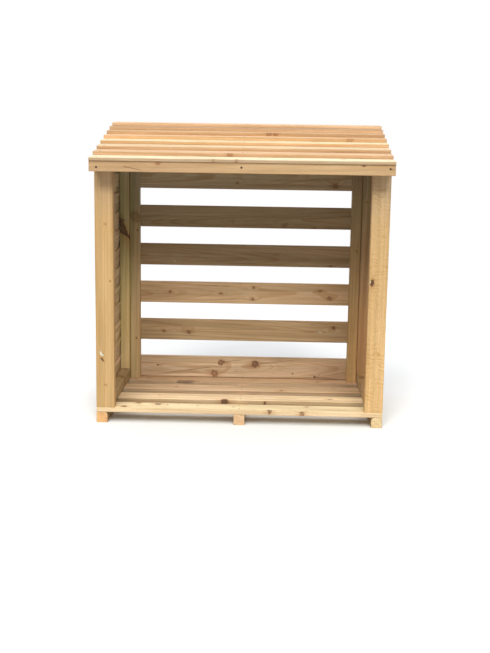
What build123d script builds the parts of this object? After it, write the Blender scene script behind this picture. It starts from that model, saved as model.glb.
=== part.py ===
from build123d import *
import math
import os

# Open-fronted timber log store: a slatted floor on three bearers, lap-boarded sides,
# a slatted back and a lap-boarded roof that falls to the front.
# Millimetres. +X right and +Z up, seen from the front. The front faces -Y.
# The origin is on the ground, at the middle of the roof's outline seen from above.

# Overall sizes
body_width = 1200.0
body_depth = 620.0
eave_height = 1050.0  # underside of the rafters at their front ends
roof_pitch = math.radians(13.0)

# Sawn timber sections
bearer_width = 46.0
bearer_height = 45.0
board_width = 100.0
board_thickness = 20.0
frame_section = 45.0  # rails, studs and battens are square
post_width = 76.0
post_depth = 45.0
rafter_width = 45.0
rafter_depth = 36.0
arris = 2.0  # easing of the long edges

# Feather-edged boards, thick at the butt and thin at the tip
side_butt = 11.0
roof_butt = 14.0
tip_thickness = 5.0
butt_arris = 1.5

# Floor and back
floor_board_count = 4
back_board_count = 6
back_foot_gap = 2.0
back_head_gap = 95.0  # between the top back board and the top rail
batten_seam = 2.0  # between the back panel and the side panels
back_board_play = 1.0  # end clearance of the back boards in the side boarding

# Side boarding
side_exposure = 85.0
side_board_width = 104.0
side_foot_gap = 3.0
side_room = 21.0  # depth of the lapped boards outside the side frame
lap_clearance = 0.3

# Roof
front_overhang = 100.0  # from the face of the posts to the face of the fascia
verge_overhang = 4.0
back_overhang = 10.0
fascia_thickness = 18.0
eave_lip = 2.0  # the heel of the lowest roof board runs past the fascia by this much
roof_board_count = 8
roof_lap = 27.5  # mean of the courses
course_step = 0.05  # each course shows this share of the mean exposure less than the one below it
rafter_setback = 4.0  # end rafters stand in from the roof boards' ends
rafter_tail = 10.0  # rafters stop short of the back edge of the roof


def lap_lift(exposure, width, butt, lift_below=None):
    """How far a lapped board's butt stands off, so that it clears the board below it.

    Without a lift for the board below, all the boards are taken to tilt alike.
    """
    stretch = width / exposure
    over_tip = stretch * (tip_thickness + lap_clearance)
    if lift_below is None:
        over_heel = stretch * (butt + lap_clearance) - butt + tip_thickness
    else:
        heel_below = lift_below + butt
        over_heel = heel_below - (heel_below - tip_thickness) / stretch + lap_clearance
    return max(over_tip, over_heel)


# Roof boards, worked out from the length of the slope
roof_depth = eave_lip + front_overhang + body_depth + back_overhang
slope_length = roof_depth / math.cos(roof_pitch)
roof_exposure = (slope_length - roof_lap) / roof_board_count  # mean of the courses
roof_board_width = roof_exposure + roof_lap
roof_lift = lap_lift(roof_exposure, roof_board_width, roof_butt)
roof_nose = (roof_lift + roof_butt) * math.sin(roof_pitch)  # the butts lean forward

# Places that follow from the sizes
roof_front = (roof_nose - roof_depth) / 2
roof_back = roof_front + roof_depth
fascia_front = roof_front + eave_lip
rafter_front = fascia_front + fascia_thickness
body_front = fascia_front + front_overhang
body_back = body_front + body_depth
floor_top = bearer_height + board_thickness
frame_face = body_width / 2 - side_room  # outer face of the side frames
stud_x = frame_face - frame_section / 2
batten_x = frame_face - frame_section - batten_seam - frame_section / 2
back_face = body_back - board_thickness  # front face of the back boards
stud_foot = floor_top + frame_section
roof_length = body_width + 2 * verge_overhang

os.makedirs("parts", exist_ok=True)


def under_rafters(y):
    """Height of the rafters' underside at the depth y."""
    return eave_height + (y - rafter_front) * math.tan(roof_pitch)


def over_rafters(y):
    """Height of the rafters' top at the depth y."""
    return under_rafters(y) + rafter_depth / math.cos(roof_pitch)


def save(piece, name):
    """Label a finished piece and write its STEP file."""
    piece.part.label = name
    export_step(piece.part, f"parts/{name}.step")


# Bearers, laid front to back on the ground
def make_bearer(x):
    with BuildPart() as bearer:
        with BuildSketch(Plane.XZ.offset(-body_front)):
            with Locations((x, bearer_height / 2)):
                Rectangle(bearer_width, bearer_height)
        extrude(amount=-body_depth)
        fillet(bearer.edges().filter_by(Axis.Y), arris)
    return bearer


bearer_side_x = (body_width - bearer_width) / 2
for side, x in (("left", -bearer_side_x), ("middle", 0), ("right", bearer_side_x)):
    save(make_bearer(x), f"bearer_{side}")


# Floor boards, numbered from the front, with open gaps between them
def make_floor_board(y):
    with BuildPart() as board:
        with BuildSketch(Plane.YZ):
            with Locations((y, bearer_height)):
                Rectangle(board_width, board_thickness, align=(Align.MIN, Align.MIN))
        extrude(amount=body_width / 2, both=True)
        fillet(board.edges().filter_by(Axis.X), arris)
    return board


floor_pitch = (body_depth - board_width) / (floor_board_count - 1)
for n in range(floor_board_count):
    save(make_floor_board(body_front + n * floor_pitch), f"floor_board_{n + 1}")


# Uprights, with tops cut to the slope of the rafters
def make_upright(x, y, width, depth, foot):
    with BuildPart() as upright:
        with BuildSketch(Plane.YZ.offset(x)):
            Polygon(
                (y, foot),
                (y + depth, foot),
                (y + depth, under_rafters(y + depth)),
                (y, under_rafters(y)),
                align=None,
            )
        extrude(amount=width / 2, both=True)
        fillet(upright.edges().filter_by(Axis.Z), arris)
    return upright


# Bottom rails of the side frames, along the floor
def make_bottom_rail(x):
    with BuildPart() as rail:
        with BuildSketch(Plane.XZ.offset(-(body_front + post_depth))):
            with Locations((x, floor_top + frame_section / 2)):
                Rectangle(frame_section, frame_section)
        extrude(amount=-(back_face - body_front - post_depth))
        fillet(rail.edges().filter_by(Axis.Y), arris)
    return rail


# Side boarding, feather-edged boards lapped upwards and cut to the slope at the top
def make_side_boarding(side):
    lift = lap_lift(side_exposure, side_board_width, side_butt)
    foot = floor_top + side_foot_gap
    height = under_rafters(body_back) - foot
    lap = side_board_width - side_exposure
    count = math.ceil((height - lap) / side_exposure)
    slope = Plane(
        origin=(0, rafter_front, eave_height),
        x_dir=(1, 0, 0),
        z_dir=(0, -math.sin(roof_pitch), math.cos(roof_pitch)),
    )
    with BuildPart() as boarding:
        with BuildSketch(Plane.XZ.offset(-(body_front + post_depth))):
            with Locations(*[(side * frame_face, foot + n * side_exposure) for n in range(count)]):
                Polygon(
                    (side * lift, 0),
                    (side * (lift + side_butt), 0),
                    (side * tip_thickness, side_board_width),
                    (0, side_board_width),
                    align=None,
                )
        extrude(amount=-(body_depth - post_depth))
        butts = boarding.edges().filter_by(Axis.Y).group_by(Axis.X)
        fillet(butts[-1 if side > 0 else 0], butt_arris)
        split(bisect_by=slope, keep=Keep.BOTTOM)
    return boarding


for side, name in ((-1, "left"), (1, "right")):
    post_x = side * (body_width - post_width) / 2
    front_post = make_upright(post_x, body_front, post_width, post_depth, floor_top)
    save(front_post, f"front_post_{name}")
    save(make_bottom_rail(side * stud_x), f"bottom_rail_{name}")
    front_stud_y = body_front + post_depth
    front_stud = make_upright(side * stud_x, front_stud_y, frame_section, frame_section, stud_foot)
    save(front_stud, f"front_stud_{name}")
    rear_stud_y = back_face - frame_section
    rear_stud = make_upright(side * stud_x, rear_stud_y, frame_section, frame_section, stud_foot)
    save(rear_stud, f"rear_stud_{name}")
    save(make_side_boarding(side), f"side_boarding_{name}")


# Back panel: two battens under a top rail, with spaced boards nailed behind them
rail_front = back_face - frame_section
rail_foot = under_rafters(rail_front) - frame_section
rail_half_length = batten_x + frame_section / 2
with BuildPart() as back_top_rail:
    with BuildSketch(Plane.YZ):
        Polygon(
            (rail_front, rail_foot),
            (back_face, rail_foot),
            (back_face, under_rafters(back_face)),
            (rail_front, under_rafters(rail_front)),
            align=None,
        )
    extrude(amount=rail_half_length, both=True)
    fillet(back_top_rail.edges().filter_by(Axis.X).group_by(Axis.Z)[0], arris)
save(back_top_rail, "back_top_rail")

for side, name in ((-1, "left"), (1, "right")):
    with BuildPart() as back_batten:
        with BuildSketch(Plane.XY.offset(floor_top)):
            with Locations((side * batten_x, rail_front + frame_section / 2)):
                Rectangle(frame_section, frame_section)
        extrude(amount=rail_foot - floor_top)
        fillet(back_batten.edges().filter_by(Axis.Z), arris)
    save(back_batten, f"back_batten_{name}")

lowest_board_foot = floor_top + back_foot_gap
top_board_foot = rail_foot - back_head_gap - board_width
back_pitch = (top_board_foot - lowest_board_foot) / (back_board_count - 1)
for n in range(back_board_count):
    board_foot = lowest_board_foot + n * back_pitch
    with BuildPart() as back_board:
        with BuildSketch(Plane.YZ):
            with Locations((back_face, board_foot)):
                Rectangle(board_thickness, board_width, align=(Align.MIN, Align.MIN))
        extrude(amount=frame_face - back_board_play, both=True)
        fillet(back_board.edges().filter_by(Axis.X), arris)
    save(back_board, f"back_board_{n + 1}")


# Rafters, laid down the slope with plumb-cut ends
def make_rafter(x):
    tail = roof_back - rafter_tail
    with BuildPart() as rafter:
        with BuildSketch(Plane.YZ.offset(x)):
            Polygon(
                (rafter_front, under_rafters(rafter_front)),
                (tail, under_rafters(tail)),
                (tail, over_rafters(tail)),
                (rafter_front, over_rafters(rafter_front)),
                align=None,
            )
        extrude(amount=rafter_width / 2, both=True)
    return rafter


rafter_side_x = (roof_length - rafter_width) / 2 - rafter_setback
for x, name in ((-rafter_side_x, "left"), (0, "middle"), (rafter_side_x, "right")):
    save(make_rafter(x), f"rafter_{name}")


# Roof boards, feather-edged and lapped up the slope, numbered from the eave
eave_line = Plane(
    origin=(0, roof_front, over_rafters(roof_front)),
    x_dir=(0, math.cos(roof_pitch), math.sin(roof_pitch)),
    z_dir=(1, 0, 0),
)
course_foot = 0.0
course_lift = roof_lift
exposure = roof_exposure * (1 + course_step * (roof_board_count - 2) / 2)
for n in range(roof_board_count):
    with BuildPart() as roof_board:
        with BuildSketch(eave_line):
            with Locations((course_foot, 0)):
                Polygon(
                    (0, course_lift),
                    (roof_board_width, 0),
                    (roof_board_width, tip_thickness),
                    (0, course_lift + roof_butt),
                    align=None,
                )
        extrude(amount=roof_length / 2, both=True)
        fillet(roof_board.edges().filter_by(Axis.X).sort_by(Axis.Y)[:2], butt_arris)
    save(roof_board, f"roof_board_{n + 1}")
    course_foot += exposure
    course_lift = lap_lift(exposure, roof_board_width, roof_butt, course_lift)
    exposure -= roof_exposure * course_step

# Fascia, nailed to the rafters' ends, with its top bevelled to seat the lowest roof board
board_tilt = roof_pitch - math.atan(roof_lift / roof_board_width)
butt_foot_y = roof_front - roof_lift * math.sin(roof_pitch)
butt_foot_z = over_rafters(roof_front) + roof_lift * math.cos(roof_pitch)


def under_first_board(y):
    """Height just under the lowest roof board at the depth y."""
    return butt_foot_z + (y - butt_foot_y) * math.tan(board_tilt) - lap_clearance


with BuildPart() as fascia:
    with BuildSketch(Plane.YZ):
        Polygon(
            (fascia_front, eave_height),
            (rafter_front, eave_height),
            (rafter_front, under_first_board(rafter_front)),
            (fascia_front, under_first_board(fascia_front)),
            align=None,
        )
    extrude(amount=roof_length / 2, both=True)
    fillet(fascia.edges().filter_by(Axis.X).group_by(Axis.Z)[0].sort_by(Axis.Y)[0], arris)
save(fascia, "fascia")
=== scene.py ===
# %% [markdown]
# # A timber log store
#
# The frame holds the store as plain solids. Here every piece of timber is sawn again as a board
# with eased edges, and its grain is worked out from the tree it came from. The first cell keeps the
# frame's box, because the boards have to stay in it.

# %% Load the frame
import math

import bpy
import numpy as np
from mathutils import Matrix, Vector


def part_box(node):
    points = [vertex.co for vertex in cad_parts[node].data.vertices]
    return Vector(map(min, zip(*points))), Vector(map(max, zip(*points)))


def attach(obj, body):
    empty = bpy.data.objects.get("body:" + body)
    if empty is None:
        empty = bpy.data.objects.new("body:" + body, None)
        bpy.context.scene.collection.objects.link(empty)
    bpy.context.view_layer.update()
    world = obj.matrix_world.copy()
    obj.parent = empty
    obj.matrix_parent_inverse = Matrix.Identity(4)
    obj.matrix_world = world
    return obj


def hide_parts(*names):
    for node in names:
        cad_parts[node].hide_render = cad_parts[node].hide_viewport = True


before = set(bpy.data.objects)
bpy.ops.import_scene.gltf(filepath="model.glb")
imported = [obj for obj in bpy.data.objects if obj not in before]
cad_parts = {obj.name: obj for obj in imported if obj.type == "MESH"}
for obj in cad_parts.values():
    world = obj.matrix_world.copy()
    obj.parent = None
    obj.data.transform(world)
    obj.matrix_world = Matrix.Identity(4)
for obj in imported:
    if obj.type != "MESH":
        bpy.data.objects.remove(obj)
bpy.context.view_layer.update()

# %% [markdown]
# ## The camera
#
# A picture is matched by standing where its maker stood. The place, the turns in radians and the
# lens come from the store's edges and its known sizes. The picture's long side, 653 pixels, stands
# for the 36 mm of the sensor.

# %% Stand the camera in front of the store
focal_pixels, long_side, sensor_mm = 1029.65, 653, 36.0
turn, down, lean = -0.025068, 0.177244, 0.015067
camera = bpy.data.objects.new("camera", bpy.data.cameras.new("camera"))
camera.data.lens = focal_pixels * sensor_mm / long_side
camera.data.sensor_width = sensor_mm
camera.matrix_world = (
    Matrix.Translation((0.12493, -4.4479, 1.17242)) @ Matrix.Rotation(-turn, 4, "Z")
    @ Matrix.Rotation(math.pi / 2 - down, 4, "X") @ Matrix.Rotation(lean, 4, "Z")
)
bpy.context.scene.collection.objects.link(camera)
bpy.context.scene.camera = camera
print("lens", round(camera.data.lens, 2), "mm")

# %% [markdown]
# ## Sums that build shader nodes
#
# A node tree made in code is mostly links. Here each call adds one node and gives back its output,
# and outputs can be added, multiplied and compared, so that a pattern is written as a formula.


# %% Node helper
class Output:
    """A node's output. Each + - * / < or > between outputs and numbers adds a node."""

    def __init__(self, net, socket):
        self.net, self.socket = net, socket

    def length(self):
        """How long this vector is."""
        return self.net.vector("LENGTH", self, out="Value")

    def dot(self, other):
        """The sum of the products of two vectors' numbers."""
        return self.net.vector("DOT_PRODUCT", self, other, out="Value")

    def split(self):
        """The three numbers of this vector."""
        return self.net.node("ShaderNodeSeparateXYZ", {0: self}).values()

    def step(self, low, high, start=0, end=1):
        """Goes smoothly from start to end as this value passes from low to high."""
        numbers = {0: self, 1: low, 2: high, 3: start, 4: end}
        return self.net.add("MapRange", numbers, interpolation_type="SMOOTHSTEP")

    def noise(self, across, along, detail=2, rough=0.5, out="Fac"):
        """Soft noise from 0 to 1 with so many waves in a metre, across the trunk and along it."""
        waves = {"Vector": self * (across, across, along), "Scale": 1}
        return self.net.add("TexNoise", waves | {"Detail": detail, "Roughness": rough}, out)

    def line_noise(self, detail=1):
        """Soft noise from 0 to 1 along a line."""
        return self.net.add("TexNoise", {"W": self, "Scale": 1, "Detail": detail}, noise_dimensions="1D")

    def tinted(self, share, tint):
        """This colour where share is 0, and the colour times the tint where it is 1."""
        return self.net.mix(share, self, self * tint)


def is_vector(value):
    """Whether a value has several numbers, as vectors and colours do."""
    return isinstance(value, tuple) or (isinstance(value, Output) and value.socket.type != "VALUE")


def joined(operation, a, b):
    """Two values joined by a Math node, or by a Vector Math node if one is a vector."""
    net = a.net if isinstance(a, Output) else b.net
    if is_vector(a) and is_vector(b):
        return net.vector(operation, a, b)
    if is_vector(a) or is_vector(b):
        vector, factor = (a, b) if is_vector(a) else (b, a)
        return net.add("VectorMath", {0: vector, "Scale": factor}, operation="SCALE")
    return net.maths(operation, a, b)


for sign, operation in (("add", "ADD"), ("sub", "SUBTRACT"), ("mul", "MULTIPLY"), ("truediv", "DIVIDE")):
    setattr(Output, f"__{sign}__", lambda a, b, operation=operation: joined(operation, a, b))
    setattr(Output, f"__r{sign}__", lambda a, b, operation=operation: joined(operation, b, a))
Output.__gt__ = lambda a, b: joined("GREATER_THAN", a, b)
Output.__lt__ = lambda a, b: joined("LESS_THAN", a, b)
Output.__abs__ = lambda a: a.net.maths("ABSOLUTE", a)


class Nodes:
    """Adds nodes to a tree."""

    def __init__(self, tree):
        self.tree = tree

    def feed(self, node, inputs):
        """Links each output among the inputs, and sets the numbers."""
        for key, value in inputs.items():
            if isinstance(value, Output):
                self.tree.links.new(value.socket, node.inputs[key])
            else:
                node.inputs[key].default_value = value

    def node(self, kind, inputs=(), **settings):
        """All outputs of a new node by name. inputs maps a socket's name or number to what goes in."""
        node = self.tree.nodes.new(kind)
        for name, value in settings.items():
            setattr(node, name, value)
        self.feed(node, dict(inputs))
        return {socket.name: Output(self, socket) for socket in node.outputs}

    def add(self, kind, inputs, out=None, **settings):
        """One output of a new shader node, the first or the named one."""
        outputs = self.node("ShaderNode" + kind, inputs, **settings)
        return outputs[out] if out else list(outputs.values())[0]

    def maths(self, operation, *values, clamp=False):
        return self.add("Math", dict(enumerate(values)), operation=operation, use_clamp=clamp)

    def most(self, largest, *others):
        """The largest of the values."""
        for other in others:
            largest = self.maths("MAXIMUM", largest, other)
        return largest

    def vector(self, operation, *values, out="Vector"):
        return self.add("VectorMath", dict(enumerate(values)), out, operation=operation)

    def mix(self, share, a, b):
        """a where share is 0 and b where it is 1. Both are numbers or both are colours."""
        kind, first = ("RGBA", 6) if is_vector(a) else ("FLOAT", 2)
        node = self.tree.nodes.new("ShaderNodeMix")
        node.data_type = kind
        self.feed(node, {0: share, first: a, first + 1: b})
        return Output(self, node.outputs[first // 3])


def new_group(name, inputs, outputs):
    """The node helper of a new group with named sockets, and the group's inputs by name."""
    tree = bpy.data.node_groups.new(name, "ShaderNodeTree")
    for direction, sockets in (("INPUT", inputs), ("OUTPUT", outputs)):
        for socket, kind in sockets.items():
            tree.interface.new_socket(socket, in_out=direction, socket_type="NodeSocket" + kind)
    net = Nodes(tree)
    return net, net.node("NodeGroupInput")


def new_material(name, roughness, specular):
    """A material with a Principled shader, its node helper and the shader."""
    material = bpy.data.materials.new(name)
    material.use_nodes = True
    shader = material.node_tree.nodes["Principled BSDF"]
    shader.inputs["Roughness"].default_value = roughness
    shader.inputs["Specular IOR Level"].default_value = specular
    return material, Nodes(material.node_tree), shader


# %% [markdown]
# ## The white around it
#
# The lens sees a white world. A Light Path node gives all other rays a dim, bluish one, so that the
# shade inside the store stays deep, as under a real sky.


# %% White to the lens, dimmer to the light
def seen_by_lens(net):
    """1 for rays that show a white background: from the lens, off gloss or through glass."""
    path = net.node("ShaderNodeLightPath")
    return net.most(*(path[f"Is {ray} Ray"] for ray in ("Camera", "Glossy", "Transmission")))


bpy.context.scene.view_settings.view_transform = "Standard"
world = bpy.data.worlds.new("studio")
bpy.context.scene.world = world
world.use_nodes = True
net = Nodes(world.node_tree)
sky_light = net.add("Background", {"Color": (0.89, 0.98, 1.18, 1), "Strength": 0.3})
white = net.add("Background", {"Color": (1, 1, 1, 1), "Strength": 1})
studio_world = net.add("MixShader", {0: seen_by_lens(net), 1: sky_light, 2: white})
net.feed(world.node_tree.nodes["World Output"], {0: studio_world})
print("world nodes", len(world.node_tree.nodes))

# %% [markdown]
# ## The floor
#
# The store's shadow falls on a plain pale floor, which fades into the white world further off. To
# all rays but the lens's it is dimmer, or it would light the timber too much from below.

# %% Lay the floor
floor_half, fade_start, fade_end = 40, 1.6, 5.0
floor_material = bpy.data.materials.new("pale_floor")
floor_material.use_nodes = True
net = Nodes(floor_material.node_tree)
near = net.add("BsdfDiffuse", {"Color": (0.95, 0.94, 0.9, 1)})
far = net.add("Emission", {"Color": (1, 1, 1, 1), "Strength": 1})
dim = net.add("BsdfDiffuse", {"Color": (0.4, 0.4, 0.39, 1)})
distance = net.add("TexCoord", {}, "Object").length().step(fade_start, fade_end)
shown = net.add("MixShader", {0: distance, 1: near, 2: far})
floor_look = net.add("MixShader", {0: seen_by_lens(net), 1: dim, 2: shown})
net.feed(floor_material.node_tree.nodes["Material Output"], {0: floor_look})

floor_corners = [(x * floor_half, y * floor_half, 0) for x, y in ((-1, -1), (1, -1), (1, 1), (-1, 1))]
floor_mesh = bpy.data.meshes.new("studio_floor")
floor_mesh.from_pydata(floor_corners, [], [(0, 1, 2, 3)])
floor_mesh.materials.append(floor_material)
floor = bpy.data.objects.new("studio_floor", floor_mesh)
bpy.context.scene.collection.objects.link(floor)
print("floor", 2 * floor_half, "m wide")

# %% [markdown]
# ## The lamps
#
# The lamps are far ones with a wide, soft edge. The low one in front, the bright part of the sky,
# is wide from side to side but not in height, so it is two lamps. The high one lights what faces
# up, and the rest keep the back and the sides readable.


# %% Hang the lamps
def lamp(name, height, side, strength, width):
    """A far lamp: height over the ground and side from the front, to the right, in degrees.

    width is the angle that the lamp fills in the sky. A wide lamp makes soft shadows.
    """
    light = bpy.data.lights.new(name, "SUN")
    light.energy, light.angle = strength, math.radians(width)
    lamp_object = bpy.data.objects.new(name, light)
    lamp_object.rotation_euler = (math.radians(90 - height), 0, math.radians(side))
    bpy.context.scene.collection.objects.link(lamp_object)


lamp("front_sky_left", 36, -18, 0.66, 16)
lamp("front_sky_right", 36, 14, 0.88, 16)
lamp("high_sky", 58, -9, 1.4, 36)
lamp("broad_sky", 30, 8, 0.4, 90)
lamp("back_fill", 50, 165, 0.6, 60)
lamp("left_fill", 35, -95, 0.3, 60)
lamp("right_fill", 35, 95, 0.3, 60)
print("lamps", len(bpy.data.lights))

# %% [markdown]
# ## A branch through the wood
#
# A knot is a branch that the tree grew round. It runs outwards and a little upwards from the middle
# of the trunk, gets thicker, and pushes the rings out beside it. Each face of a board carries the
# place where its nearest branch crosses the board, its radius there, and its manner: how dark the
# knot is, the length of the dark check that runs on from it along the grain, and the check's slope.
# Without a check, the slope makes the branch steeper. A darkness under zero is a faint knot, and at
# -1 the knot was torn out and left a pale chip.

# %% Knot group
knot_masks = ("Bulge", "Core", "Dark", "Rim", "Halo", "Tail", "Chip", "Rings")
net, given = new_group(
    "branch_through_board",
    {"Log": "Vector", "Centre": "Vector", "Radius": "Float", "Manner": "Vector"},
    dict.fromkeys(knot_masks, "Float"),
)
knot_group, log, flat = net.tree, given["Log"], (1, 1, 0)
darkness, check, slope = given["Manner"].split()
has_tail = abs(check) > 0.002
branch_rise = net.add("CombineXYZ", {"Z": 0.22 + (1 - has_tail) * slope})
radius = net.most(given["Radius"], 0.0002)
centre_flat = given["Centre"] * flat
branch_line = net.vector("NORMALIZE", net.vector("NORMALIZE", centre_flat) + branch_rise)
from_knot = log - given["Centre"]
along_branch = from_knot.dot(branch_line)
aside = from_knot - branch_line * along_branch
cone = 1 + along_branch / net.most(centre_flat.length(), 0.01)
thickness = radius * net.maths("MINIMUM", net.most(cone, 0.25), 1.5)
outline = (log.noise(120, 90, 4, 0.65) - 0.5) * 2 + 1
knot_distance = aside.length() / thickness * outline

strength = net.maths("MULTIPLY_ADD", darkness, 2, 1, clamp=True)
present = (given["Radius"] > 0.0001) * strength
core = knot_distance.step(0.82, 1.06, 1, 0) * present
rim = knot_distance.step(0.6, 0.92) * knot_distance.step(1, 1.25, 1, 0) * present
reach = (aside * (1, 1, 0.36)).length() / (radius * 3.6)
fade = net.most(1 - reach * reach, 0)
bulge = fade * fade * net.maths("MINIMUM", given["Radius"], 0.008) * 0.8
halo = net.most(1 - (aside * (1, 1, 0.5)).length() / (radius * 2.3), 0)
halo = net.maths("POWER", halo, 1.4) * present

_, beside, above = aside.split()
tail_way = above * net.maths("SIGN", check) / net.most(abs(check), 0.001)
off_line = abs((log.noise(20, 26) - 0.5) * 0.004 + (beside - slope * above))
tail = (off_line / (tail_way * -0.0016 + 0.003)).step(0.4, 1, 1, 0) * has_tail
tail = tail * tail_way.step(0, 0.02) * tail_way.step(0.6, 1, 1, 0)

chip_reach = log.noise(230, 70, 3, 0.6) * 2.4 + (aside * (1, 1, 0.3)).length() / radius
chip = chip_reach.step(1.65, 1.9, 1, 0) * (darkness < -0.75)
dark = core * net.most(darkness, 0)
knot_rings = net.maths("SINE", knot_distance * 19) * core
masks = dict(zip(knot_masks, (bulge, core, dark, rim, halo, tail, chip, knot_rings)))
net.node("NodeGroupOutput", masks)
print("knot group", len(knot_group.nodes), "nodes")

# %% [markdown]
# ## Growth rings
#
# A ring is a layer at one distance from the middle of the trunk, pale from spring and dark from
# late summer. The distance wanders a little, and bulges at a knot. Every flat face then shows the
# right lines by itself: long flames where it grazes the layers, straight stripes where it crosses
# them, and arcs on the sawn ends.

# %% Ring group
net, given = new_group(
    "growth_rings",
    {"Log": "Vector", "Bulge": "Float", "Ring width": "Float", "Wander": "Float"},
    {"Late": "Float", "Band": "Float", "Middle distance": "Float"},
)
ring_group, log = net.tree, given["Log"]
sway = log.noise(9, 1.5, 1, out="Color") - (0.5, 0.5, 0.5)
swayed = log + sway * given["Wander"]
middle = (log.noise(55, 6) - 0.5) * 0.0022 + (swayed * flat).length() - given["Bulge"]
years = middle / given["Ring width"]
years = (years * 0.31).line_noise() * 2.4 + years
season = net.maths("FRACT", years)
summer = season.step(0.3, 0.93) * season.step(0.95, 1, 1, 0)
strong_year = (years * 0.43).line_noise().step(0.3, 0.7, 0.35, 1)
band = (years * 0.17).line_noise(2).step(0.3, 0.7)
net.node("NodeGroupOutput", {"Late": summer * strong_year, "Band": band, "Middle distance": middle})
print("ring group", len(ring_group.nodes), "nodes")

# %% [markdown]
# ## Saw marks
#
# A band saw leaves fine ridges across the grain at an even step. They fade in and out, and lean a
# little. On a cut end they run straight across the board.

# %% Saw mark group
net, given = new_group("saw_marks", {"Log": "Vector", "End": "Float", "Step": "Float"}, {"Ridge": "Float"})
saw_group, log = net.tree, given["Log"]
travel = net.mix(given["End"], log.dot((0.05, 0.1, 1)), log.dot((3.2, 0.5, 0)))
turns = travel / given["Step"] + log.noise(16, 22) * 3.4
wave = net.maths("SINE", turns * (2 * math.pi))
net.node("NodeGroupOutput", {"Ridge": wave * log.noise(30, 12).step(0.34, 0.66)})
print("saw mark group", len(saw_group.nodes), "nodes")

# %% [markdown]
# ## Sawn pine
#
# This group puts the parts together. It shades the board's own mean colour with darker summer wood,
# bands of a few years, fibres, a green cast of preservative, knots, cracks along the grain, bark
# and pale torn wood. It also gives the roughness, and the height in millimetres for the bump.

# %% Pine group
pine_vectors = ("Log", "Look", "Knot A", "Manner A", "Knot B", "Manner B")
pine_numbers = ("Edge", "End", "Bark", "Radius A", "Radius B", "Ring width", "Saw step", "Cracks")
net, given = new_group(
    "sawn_pine",
    {"Wood": "Color"} | dict.fromkeys(pine_vectors, "Vector") | dict.fromkeys(pine_numbers, "Float"),
    {"Color": "Color", "Roughness": "Float", "Height": "Float"},
)
pine_group, log, wood = net.tree, given["Log"], given["Wood"]
saw_depth, green, grain = given["Look"].split()
branches = []
for part in "AB":
    values = {"Log": log, "Centre": given["Knot " + part], "Radius": given["Radius " + part]}
    values["Manner"] = given["Manner " + part]
    branches.append(net.node("ShaderNodeGroup", values, node_tree=knot_group))


def both(name):
    """One mask of the two nearest branches."""
    return net.most(branches[0][name], branches[1][name])


bulge, knot_rings = (branches[0][name] + branches[1][name] for name in ("Bulge", "Rings"))
ring_values = {"Log": log, "Bulge": bulge, "Ring width": given["Ring width"], "Wander": 0.016}
rings = net.node("ShaderNodeGroup", ring_values, node_tree=ring_group)
saw_values = {"Log": log, "End": given["End"], "Step": given["Saw step"]}
saw = net.add("Group", saw_values, node_tree=saw_group)
streak = log.noise(95, 1.2, 2, 0.6)
stripe = log.noise(34, 0.7)
fibre = log.noise(520, 11, 3, 0.65)
cloud = log.noise(11, 3.2)
speck = log.noise(900, 42, 1)
fuzz = log.noise(300, 95, 3, 0.7)

late = net.maths("MULTIPLY", rings["Late"], grain, clamp=True)
colour = net.mix(late, (1, 1, 1, 1), (0.76, 0.62, 0.48, 1))
stripes = streak.step(0.25, 0.75, 0.82, 1.14) * stripe.step(0.25, 0.75, 0.86, 1.11)
tone = net.mix(net.maths("MULTIPLY_ADD", grain, 1.2, 0.2, clamp=True), 1, stripes)
tone = tone * rings["Band"].step(0, 1, 0.92, 1.09) * fibre.step(0.2, 0.8, 0.9, 1.09)
tone = tone * cloud.step(0.2, 0.8, 0.93, 1.07) * speck.step(0.66, 0.74, 1, 0.86)
tone = tone * ((fuzz - 0.5) * saw_depth * 1.6 + 1)
tone = net.mix(given["End"] * 0.6, tone, 1)
warm_tone = {"X": net.maths("POWER", tone, 0.8), "Y": tone, "Z": net.maths("POWER", tone, 1.35)}
colour = colour * wood * net.add("CombineXYZ", warm_tone)
valley = saw.step(-0.2, -0.9) * saw_depth
colour = colour.tinted(valley * 1.6, (0.84, 0.72, 0.54))
colour = colour.tinted(stripe.step(0.3, 0.75, 0, 0.5), (1.03, 0.95, 0.84))
heart = (cloud * 0.03 + rings["Middle distance"]).step(0.03, 0.07, 0.5, 0)
colour = colour.tinted(heart, (1, 0.86, 0.74))
green_area = log.noise(7, 1.1).step(0.35, 0.65)
colour = colour.tinted(green_area * green, (0.84, 0.95, 0.72))

crack = abs(log.noise(46, 0.9) - 0.5).step(0.0015, 0.006, 1, 0) * given["Cracks"]
crack = crack * log.noise(12, 2.5, 1).step(0.52, 0.62)
end_line = abs((log * (1, 120 / 33, 1)).noise(33, 1) - 0.5)
end_crack = end_line.step(0.002, 0.012, 0.8, 0) * given["End"]
crack = net.most(crack, end_crack, both("Tail") * 0.75)
colour = colour.tinted(crack * 0.8, (0.34, 0.25, 0.19))

colour = colour.tinted(both("Halo"), (0.74, 0.58, 0.46))
blotch = log.noise(140, 110, 3, 0.6).step(0.3, 0.7, 0.72, 1.18)
knot_colour = wood * (0.62, 0.45, 0.34) * ((knot_rings * 0.12 + 1) * blotch)
colour = net.mix(both("Core"), colour, knot_colour)
colour = colour.tinted(both("Dark"), (0.34, 0.31, 0.32))
rim_share = both("Rim") * (both("Dark") * 0.3 + 0.6) * blotch
colour = colour.tinted(rim_share, (0.34, 0.26, 0.22))

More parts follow.
